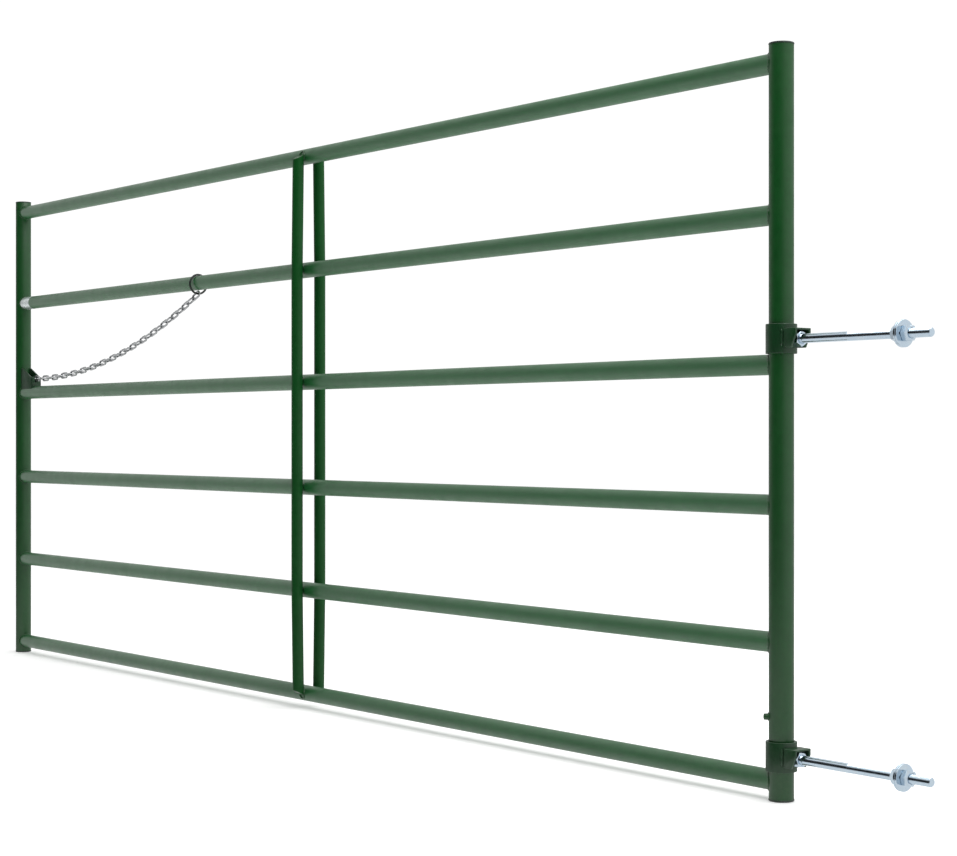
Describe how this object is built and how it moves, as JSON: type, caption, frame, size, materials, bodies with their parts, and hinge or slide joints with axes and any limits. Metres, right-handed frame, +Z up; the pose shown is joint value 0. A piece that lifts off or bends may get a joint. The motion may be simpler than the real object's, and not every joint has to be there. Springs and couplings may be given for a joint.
{
  "type": "livestock panel gate",
  "caption": "Tubular farm gate leaf with round rails, a double centre brace, bolt-on post hinges and a latch chain on a ring.",
  "frame": {"origin": "hinge upright's axis at its foot, which is the lowest point of the leaf", "axes": "+Z up, +X from the leaf along the hinge bolts towards the post, so the leaf runs towards -X; -Y is the front"},
  "size_m": [3.2437, 0.0866, 1.27],
  "materials": {
    "green_powder_coat": "gloss",
    "hinge_paint": "satin",
    "chain_steel": "satin",
    "cap_plastic": "matte",
    "zinc_plate": "bright",
    "foil": "satin"
  },
  "bodies": {
    "post_bolts": {"upper_hinge_sleeve": "hinge_paint", "lower_hinge_sleeve": "hinge_paint", "upper_hinge_bolt": "zinc_plate", "lower_hinge_bolt": "zinc_plate", "upper_lock_nut": "zinc_plate", "lower_lock_nut": "zinc_plate"},
    "upper_inner_clamp": {"upper_inner_nut": "zinc_plate", "upper_inner_washer": "zinc_plate"},
    "upper_outer_clamp": {"upper_outer_nut": "zinc_plate", "upper_outer_washer": "zinc_plate"},
    "lower_inner_clamp": {"lower_inner_nut": "zinc_plate", "lower_inner_washer": "zinc_plate"},
    "lower_outer_clamp": {"lower_outer_nut": "zinc_plate", "lower_outer_washer": "zinc_plate"},
    "leaf": {"hinge_upright": "green_powder_coat", "latch_upright": "green_powder_coat", "top_rail": "green_powder_coat", "second_rail": "green_powder_coat", "third_rail": "green_powder_coat", "fourth_rail": "green_powder_coat", "fifth_rail": "green_powder_coat", "bottom_rail": "green_powder_coat", "front_brace": "green_powder_coat", "back_brace": "green_powder_coat", "hinge_upright_top_cap": "cap_plastic", "hinge_upright_foot_cap": "cap_plastic", "latch_upright_top_cap": "cap_plastic", "latch_upright_foot_cap": "cap_plastic", "lift_stop": "green_powder_coat", "chain_keeper": "green_powder_coat", "rail_wrap": "foil"},
    "ring": {"chain_ring": "hinge_paint"},
    "chain_run_1": {"chain_links_01": "chain_steel", "chain_links_02": "chain_steel", "chain_links_03": "chain_steel"},
    "chain_run_2": {"chain_links_04": "chain_steel", "chain_links_05": "chain_steel", "chain_links_06": "chain_steel"},
    "chain_run_3": {"chain_links_07": "chain_steel", "chain_links_08": "chain_steel", "chain_links_09": "chain_steel", "chain_links_10": "chain_steel"},
    "chain_run_4": {"chain_links_11": "chain_steel", "chain_links_12": "chain_steel", "chain_links_13": "chain_steel", "chain_links_14": "chain_steel"},
    "chain_run_5": {"chain_links_15": "chain_steel", "chain_links_16": "chain_steel", "chain_links_17": "chain_steel"}
  },
  "joints": [
    {"name": "gate_swing", "type": "hinge", "parent": "post_bolts", "child": "leaf", "pos_m": [0, 0, 0], "axis": [0, 0, 1], "range_deg": [-120, 120]},
    {"name": "upper_inner_nut_travel", "type": "slide", "parent": "post_bolts", "child": "upper_inner_clamp", "axis": [1, 0, 0], "range_m": [-0.085, 0.2]},
    {"name": "upper_outer_nut_travel", "type": "slide", "parent": "upper_inner_clamp", "child": "upper_outer_clamp", "axis": [1, 0, 0], "range_m": [0, 0.1]},
    {"name": "lower_inner_nut_travel", "type": "slide", "parent": "post_bolts", "child": "lower_inner_clamp", "axis": [1, 0, 0], "range_m": [-0.085, 0.2]},
    {"name": "lower_outer_nut_travel", "type": "slide", "parent": "lower_inner_clamp", "child": "lower_outer_clamp", "axis": [1, 0, 0], "range_m": [0, 0.1]},
    {"name": "ring_turn", "type": "hinge", "parent": "leaf", "child": "ring", "pos_m": [-1.92921, 0, 0.98005], "axis": [1, 0, 0], "continuous": true},
    {"name": "chain_lift", "type": "hinge", "parent": "leaf", "child": "chain_run_1", "pos_m": [-1.92921, 0, 0.95685], "axis": [0, 1, 0], "range_deg": [0, 9.5]},
    {"name": "chain_bend_2", "type": "hinge", "parent": "chain_run_1", "child": "chain_run_2", "pos_m": [-2.08689, 0, 0.89394], "axis": [0, 1, 0], "range_deg": [-2.8, 0]},
    {"name": "chain_bend_3", "type": "hinge", "parent": "chain_run_2", "child": "chain_run_3", "pos_m": [-2.24883, 0, 0.84298], "axis": [0, 1, 0], "range_deg": [-3.4, 0]},
    {"name": "chain_bend_4", "type": "hinge", "parent": "chain_run_3", "child": "chain_run_4", "pos_m": [-2.46999, 0, 0.79502], "axis": [0, 1, 0], "range_deg": [-4, 0]},
    {"name": "chain_bend_5", "type": "hinge", "parent": "chain_run_4", "child": "chain_run_5", "pos_m": [-2.69504, 0, 0.77135], "axis": [0, 1, 0], "range_deg": [-3.6, 0]}
  ],
  "couplings": [
    {"joint": "chain_bend_2", "follows": "chain_lift", "ratio": -0.2717},
    {"joint": "chain_bend_3", "follows": "chain_lift", "ratio": -0.3324},
    {"joint": "chain_bend_4", "follows": "chain_lift", "ratio": -0.3957},
    {"joint": "chain_bend_5", "follows": "chain_lift", "ratio": -0.3541}
  ]
}
